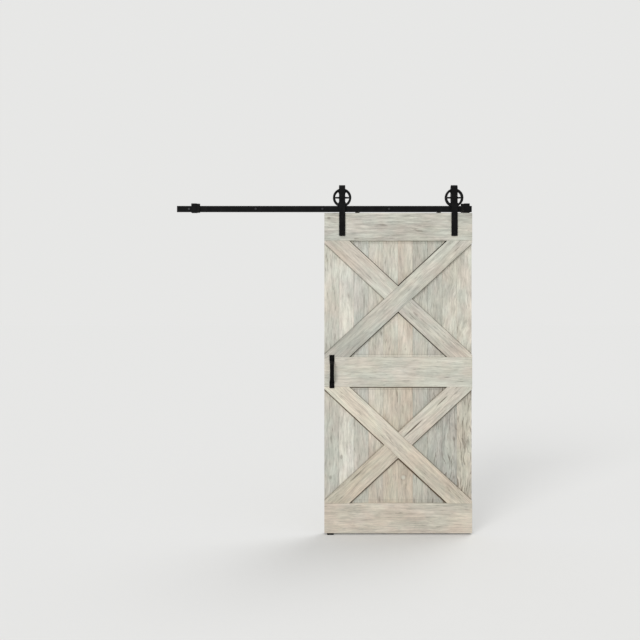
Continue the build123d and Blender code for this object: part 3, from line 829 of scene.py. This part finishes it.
def show(name, form, body, material):
    """A piece from a finished bmesh, smooth except at its sharp edges, that rides one body."""
    mesh = bpy.data.meshes.new(name)
    form.to_mesh(mesh)
    form.free()
    if "custom_normal" in mesh.attributes:
        mesh.attributes.remove(mesh.attributes["custom_normal"])
    mesh.polygons.foreach_set("use_smooth", [True] * len(mesh.polygons))
    mesh.set_sharp_from_angle(angle=SMOOTH_ANGLE)
    mesh.materials.append(material)
    obj = bpy.data.objects.new(name, mesh)
    bpy.context.scene.collection.objects.link(obj)
    even = obj.modifiers.new("even", "WEIGHTED_NORMAL")
    even.keep_sharp = True
    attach(obj, body)
    return obj


def ease_hardware():
    """Stands a copy with eased edges in for each piece of hardware."""
    for node, (material, slot, width) in HARDWARE.items():
        form = bmesh.new()
        form.from_mesh(NODES[node].data)
        bmesh.ops.remove_doubles(form, verts=form.verts, dist=WELD)
        bmesh.ops.dissolve_limit(form, angle_limit=FLAT_ANGLE, verts=form.verts, edges=form.edges)
        whole = [edge for edge in form.edges if edge.is_manifold]
        corners = [edge for edge in whole if edge.calc_face_angle() > EASED_ANGLE]
        bmesh.ops.bevel(
            form,
            geom=corners,
            offset=width * MM,
            segments=2,
            profile=ROUND_PROFILE,
            affect="EDGES",
            clamp_overlap=True,
        )
        for face in form.faces:
            face.material_index = 0
        body = NODES[node]["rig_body"]
        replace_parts(show(node + "_eased", form, body, material), node)
        dress(node, material)


# Bolts and screws: their own sizes are in millimetres, and where they sit is in metres
SIDES = 24
HEXAGON = 6
SQUARE = 4
ROUND = 0
FRONT = Matrix.Rotation(math.pi / 2, 4, "X")
BACK = Matrix.Rotation(-math.pi / 2, 4, "X")
TOP = Matrix.Identity(4)


def outline_radius(half_flats, sides, turn):
    """How far out a regular outline is in one direction; a round one has no sides."""
    if sides == ROUND:
        return half_flats
    half = math.pi / sides
    return half_flats / math.cos((turn + half) % (2 * half) - half)


def stack(form, place, rings):
    """A closed solid of rings in millimetres: half width, height, sides and how much corners drop."""
    loops = []
    for half_flats, height, sides, drop in rings:
        loop = []
        for index in range(SIDES):
            turn = 2 * math.pi * index / SIDES
            radius = outline_radius(half_flats, sides, turn)
            level = height - drop * (radius - half_flats)
            spot = Vector((radius * math.cos(turn), radius * math.sin(turn), level)) * MM
            loop.append(form.verts.new(place @ spot))
        loops.append(loop)
    for low, high in zip(loops, loops[1:]):
        for index in range(SIDES):
            after = (index + 1) % SIDES
            form.faces.new((low[index], low[after], high[after], high[index]))
    form.faces.new(loops[0][::-1])
    form.faces.new(loops[-1])


# A hexagon head: its washer face's share of the flats and height, and the chamfer on its corners
WASHER_SHARE = 0.93
WASHER_HEIGHT = 0.4
CHAMFER_HEIGHT = 0.25
CORNER_DROP = 0.58


def hexagon_head(form, place, flats, height, shank, length):
    """A bolt head with a washer face and a chamfered top, and its plain shank behind."""
    half = flats / 2
    washer = half * WASHER_SHARE
    rings = [(shank, -length, ROUND, 0), (shank, 0, ROUND, 0), (washer, 0, ROUND, 0)]
    rings += [(washer, WASHER_HEIGHT, ROUND, 0), (half, WASHER_HEIGHT, HEXAGON, 0)]
    rings += [(half, height - CHAMFER_HEIGHT, HEXAGON, CORNER_DROP), (washer, height, ROUND, 0)]
    stack(form, place, rings)


# A domed head, in shares of its radius and height, and its socket, in shares of the drive and height
DOME = ((1.0, 0.0), (1.0, 0.25), (0.88, 0.68), (0.66, 0.94))
SOCKET_LIP = 1.25
SOCKET_TOP = 0.97
SOCKET_FLOOR = 0.3


def socket_head(form, place, radius, height, drive, sides, shank, length):
    """A domed screw head with a socket, and its shank behind."""
    rings = [(shank, -length, ROUND, 0), (shank, 0, ROUND, 0)]
    rings += [(radius * out, height * up, ROUND, 0) for out, up in DOME]
    rings += [(drive * SOCKET_LIP, height, ROUND, 0)]
    rings += [(drive, height * up, sides, 0) for up in (SOCKET_TOP, SOCKET_FLOOR)]
    stack(form, place, rings)


# A countersunk head, in shares of its radius and in millimetres of height, and its socket
FLUSH_CONE = ((0.4, -3.0), (1.0, -0.4), (0.96, 0.25))
FLUSH_LIP = 1.3
FLUSH_LIP_HEIGHT = 0.25
FLUSH_SOCKET = (0.2, -1.3)


def flush_head(form, place, radius, drive):
    """A countersunk screw head, all but flush with the surface round it, with a square socket."""
    rings = [(radius * out, height, ROUND, 0) for out, height in FLUSH_CONE]
    rings += [(drive * FLUSH_LIP, FLUSH_LIP_HEIGHT, ROUND, 0)]
    rings += [(drive, height, SQUARE, 0) for height in FLUSH_SOCKET]
    stack(form, place, rings)


# A coarse thread in millimetres, its profile in shares of the pitch and of its height
THREAD_PITCH = 2.9
THREAD_ROOT = 2.9
THREAD_POINT = 9.0
THREAD_PROFILE = ((0.0, 0.0), (0.42, 0.0), (0.66, 1.0), (0.76, 1.0))


def thread(form, place, crest, start, length):
    """A screw thread that runs away from the head and ends in a point."""
    turns = (length - start) / THREAD_PITCH
    steps = int(turns * SIDES)
    rows = []
    for index in range(steps + 1):
        turn = 2 * math.pi * index / SIDES
        row = []
        for share, rise in THREAD_PROFILE:
            run = start + THREAD_PITCH * (index / SIDES + share)
            taper = min(max((length - run) / THREAD_POINT, 0.0), 1.0)
            grow = min(index / SIDES, 1.0) * rise
            radius = (THREAD_ROOT + (crest - THREAD_ROOT) * grow) * taper
            spot = Vector((radius * math.cos(turn), radius * math.sin(turn), -min(run, length))) * MM
            row.append(form.verts.new(place @ spot))
        rows.append(row)
    for index in range(steps):
        here, after = rows[index], rows[index + 1]
        for one in range(len(THREAD_PROFILE) - 1):
            form.faces.new((here[one], after[one], after[one + 1], here[one + 1]))
        if index + SIDES < steps:
            here_next, after_next = rows[index + SIDES], rows[index + 1 + SIDES]
            form.faces.new((here[-1], after[-1], after_next[0], here_next[0]))


BOLT_XS = (-0.8255, -0.41275, 0.0, 0.41275, 0.8255)
LAG_FLATS = 13.0
LAG_RADIUS = 4.0
LAG_SHANK_RADIUS = 3.8
THREAD_LAP = 1.0


def wall_bolts():
    """The bolts through the bar and the standoffs, with their threads behind the wall line."""
    low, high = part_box("lag_bolts")
    bar_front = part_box("track_bar")[0].y
    height, length = (bar_front - low.y) / MM, (high.y - bar_front) / MM
    to_wall = -bar_front / MM
    form = bmesh.new()
    for x in BOLT_XS:
        place = Matrix.Translation((x, bar_front, 0.0)) @ FRONT
        hexagon_head(form, place, LAG_FLATS, height, LAG_SHANK_RADIUS, to_wall + THREAD_LAP)
        thread(form, place, LAG_RADIUS, to_wall, length)
    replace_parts(show("wall_bolts", form, "track", BOLTS), "lag_bolts")
    dress("lag_bolts", BOLTS)


STRAP_SCREW_DROPS = (0.025, 0.122)
STRAP_SCREW_FLATS = 13.0


def strap_bolts():
    """The hexagon-headed screws through each strap into the leaf."""
    low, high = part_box("strap_screws")
    strap_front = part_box("hanger_strap_left")[0].y
    height, length = (strap_front - low.y) / MM, (high.y - strap_front) / MM
    form = bmesh.new()
    for side in ("left", "right"):
        strap_low, strap_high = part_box("hanger_strap_" + side)
        for drop in STRAP_SCREW_DROPS:
            spot = ((strap_low.x + strap_high.x) / 2, strap_front, LEAF_HIGH.z - drop)
            place = Matrix.Translation(spot) @ FRONT
            hexagon_head(form, place, STRAP_SCREW_FLATS, height, LAG_RADIUS, length)
    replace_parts(show("strap_bolts", form, "door", DARK_BOLTS), "strap_screws")
    dress("strap_screws", DARK_BOLTS)


PULL_HOLE_INSET = 0.018
PULL_THICKNESS = 0.005
PULL_SCREW = {"radius": 4.8, "height": 2.3, "drive": 1.5, "sides": HEXAGON, "shank": 2.3, "length": 24.0}


def pull_screws():
    """The two screws in the pull handle's feet."""
    low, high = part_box("pull_handle")
    form = bmesh.new()
    for z in (low.z + PULL_HOLE_INSET, high.z - PULL_HOLE_INSET):
        place = Matrix.Translation(((low.x + high.x) / 2, OVERLAY_FRONT - PULL_THICKNESS, z)) @ FRONT
        socket_head(form, place, **PULL_SCREW)
    show("pull_screws", form, "door", DARK_BOLTS)


DISC_SCREW = {"radius": 4.4, "height": 1.2, "drive": 1.3, "sides": SQUARE, "shank": 2.1, "length": 24.0}


def disc_screws():
    """The low screws that hold the discs on the leaf's top edge."""
    low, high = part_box("anti_jump_discs")
    form = bmesh.new()
    radius = (high.y - low.y) / 2
    for x in (low.x + radius, high.x - radius):
        place = Matrix.Translation((x, (low.y + high.y) / 2, high.z)) @ TOP
        socket_head(form, place, **DISC_SCREW)
    show("disc_screws", form, "door", BOLTS)


GUIDE_HOLE_EDGE = 0.009
GUIDE_BASE = 0.004
GUIDE_SCREW = {"radius": 4.4, "height": 1.8, "drive": 1.3, "sides": HEXAGON, "shank": 2.3}


def guide_screws():
    """The two screws that hold the guide to the floor, cut off at the floor's level."""
    low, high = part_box("floor_guide")
    form = bmesh.new()
    for y in (low.y + GUIDE_HOLE_EDGE, high.y - GUIDE_HOLE_EDGE):
        place = Matrix.Translation(((low.x + high.x) / 2, y, low.z + GUIDE_BASE)) @ TOP
        socket_head(form, place, length=GUIDE_BASE / MM, **GUIDE_SCREW)
    show("guide_screws", form, "track", BOLTS)


BACK_SCREW_SPREAD = 0.024
BACK_SCREW_RAIL_INSET = 0.035
BACK_SCREW_SINK = 0.0002
BACK_SCREW_RADIUS = 3.9
BACK_SCREW_DRIVE = 1.2


def back_screws():
    """The flush screws in the leaf's back that hold each board to the rails."""
    pitch = (LEAF_HIGH.x - LEAF_LOW.x) / len(BOARD_TONES)
    form = bmesh.new()
    for rail in ("top_rail", "middle_rail", "bottom_rail"):
        low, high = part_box(rail)
        lower, upper = low.z + BACK_SCREW_RAIL_INSET, high.z - BACK_SCREW_RAIL_INSET
        for index in range(len(BOARD_TONES)):
            centre = LEAF_LOW.x + (index + 0.5) * pitch
            for x, z in ((centre - BACK_SCREW_SPREAD, lower), (centre + BACK_SCREW_SPREAD, upper)):
                place = Matrix.Translation((x, LEAF_HIGH.y - BACK_SCREW_SINK, z)) @ BACK
                flush_head(form, place, BACK_SCREW_RADIUS, BACK_SCREW_DRIVE)
    show("back_screws", form, "door", BOLTS)


dress_boards()
dress_overlays()
ease_hardware()
dress("axle_bushes", BRONZE)
dress("stop_grub_screws", BOLTS)
wall_bolts()
strap_bolts()
pull_screws()
disc_screws()
guide_screws()
back_screws()

# Floor and light: what the lamps and the ambient light add up to shows a colour about as written.
# A lamp stands in the direction that it has here, and its spread is how wide it looks in degrees.
FLOOR_SIZE = 400.0
FLOOR_TONE = (0.80, 0.80, 0.79)
AMBIENT = 0.65
KEY_SHARE = 0.35
KEY_TOWARDS = (-0.45, -0.79, 0.42)
KEY_SPREAD = 25.0
RIM_SHARE = 0.23
RIM_TOWARDS = (0.35, 0.35, 0.87)
RIM_SPREAD = 30.0


def floor():
    """A plain pale floor, much larger than the view."""
    mesh = bpy.data.meshes.new("floor")
    half = FLOOR_SIZE / 2
    corners = [(x, y, FLOOR_Z) for x, y in ((-half, -half), (half, -half), (half, half), (-half, half))]
    mesh.from_pydata(corners, [], [(0, 1, 2, 3)])
    obj = bpy.data.objects.new("floor", mesh)
    bpy.context.scene.collection.objects.link(obj)
    finish = Finish("pale_floor")
    finish.set(Base_Color=FLOOR_TONE, Roughness=1.0, Specular_IOR_Level=0.0)
    mesh.materials.append(finish.material)


def surroundings():
    """Even light from all sides, and the floor's pale colour for the camera, reflections and glass."""
    world = bpy.data.worlds.new("studio")
    bpy.context.scene.world = world
    world.use_nodes = True
    tree = world.node_tree
    light = tree.nodes["Background"]
    light.inputs["Color"].default_value = (1.0, 1.0, 1.0, 1.0)
    light.inputs["Strength"].default_value = AMBIENT
    seen = tree.nodes.new("ShaderNodeBackground")
    seen.inputs["Color"].default_value = (*FLOOR_TONE, 1.0)
    ray = tree.nodes.new("ShaderNodeLightPath")
    chosen = ray.outputs["Is Camera Ray"]
    for kind in ("Is Glossy Ray", "Is Transmission Ray"):
        either = tree.nodes.new("ShaderNodeMath")
        either.operation = "MAXIMUM"
        tree.links.new(chosen, either.inputs[0])
        tree.links.new(ray.outputs[kind], either.inputs[1])
        chosen = either.outputs[0]
    mix = tree.nodes.new("ShaderNodeMixShader")
    tree.links.new(chosen, mix.inputs[0])
    tree.links.new(light.outputs[0], mix.inputs[1])
    tree.links.new(seen.outputs[0], mix.inputs[2])
    tree.links.new(mix.outputs[0], tree.nodes["World Output"].inputs[0])


def distant_lamp(name, towards, share, spread):
    """A far lamp in one direction, whose light is a share of what shows a colour as written."""
    light = bpy.data.lights.new(name, "SUN")
    light.energy = share * math.pi
    light.angle = math.radians(spread)
    obj = bpy.data.objects.new(name, light)
    obj.rotation_euler = Vector(towards).to_track_quat("Z", "Y").to_euler()
    bpy.context.scene.collection.objects.link(obj)


# The camera, from the photo: its size, what a pixel is on the door, the row of the leaf's top edge
# and where its middle column is
PHOTO_PIXELS = 640
PIXEL_SIZE = 0.006185
LEAF_TOP_ROW = 212.9
CAMERA_X = -0.0145
CAMERA_DISTANCE = 4.5
CAMERA_SENSOR = 36.0
CAMERA_REACH = 500.0


def camera():
    """The camera, square to the door, as the photo was taken."""
    data = bpy.data.cameras.new("camera")
    data.sensor_width = CAMERA_SENSOR
    data.lens = data.sensor_width * CAMERA_DISTANCE / (PHOTO_PIXELS * PIXEL_SIZE)
    data.clip_end = CAMERA_REACH
    obj = bpy.data.objects.new("camera", data)
    height = LEAF_HIGH.z - (PHOTO_PIXELS / 2 - LEAF_TOP_ROW) * PIXEL_SIZE
    obj.location = (CAMERA_X, OVERLAY_FRONT - CAMERA_DISTANCE, height)
    obj.rotation_euler = (math.pi / 2, 0.0, 0.0)
    bpy.context.scene.collection.objects.link(obj)
    bpy.context.scene.camera = obj


floor()
surroundings()
distant_lamp("key", KEY_TOWARDS, KEY_SHARE, KEY_SPREAD)
distant_lamp("rim", RIM_TOWARDS, RIM_SHARE, RIM_SPREAD)
camera()
bpy.context.scene.view_settings.view_transform = "Standard"
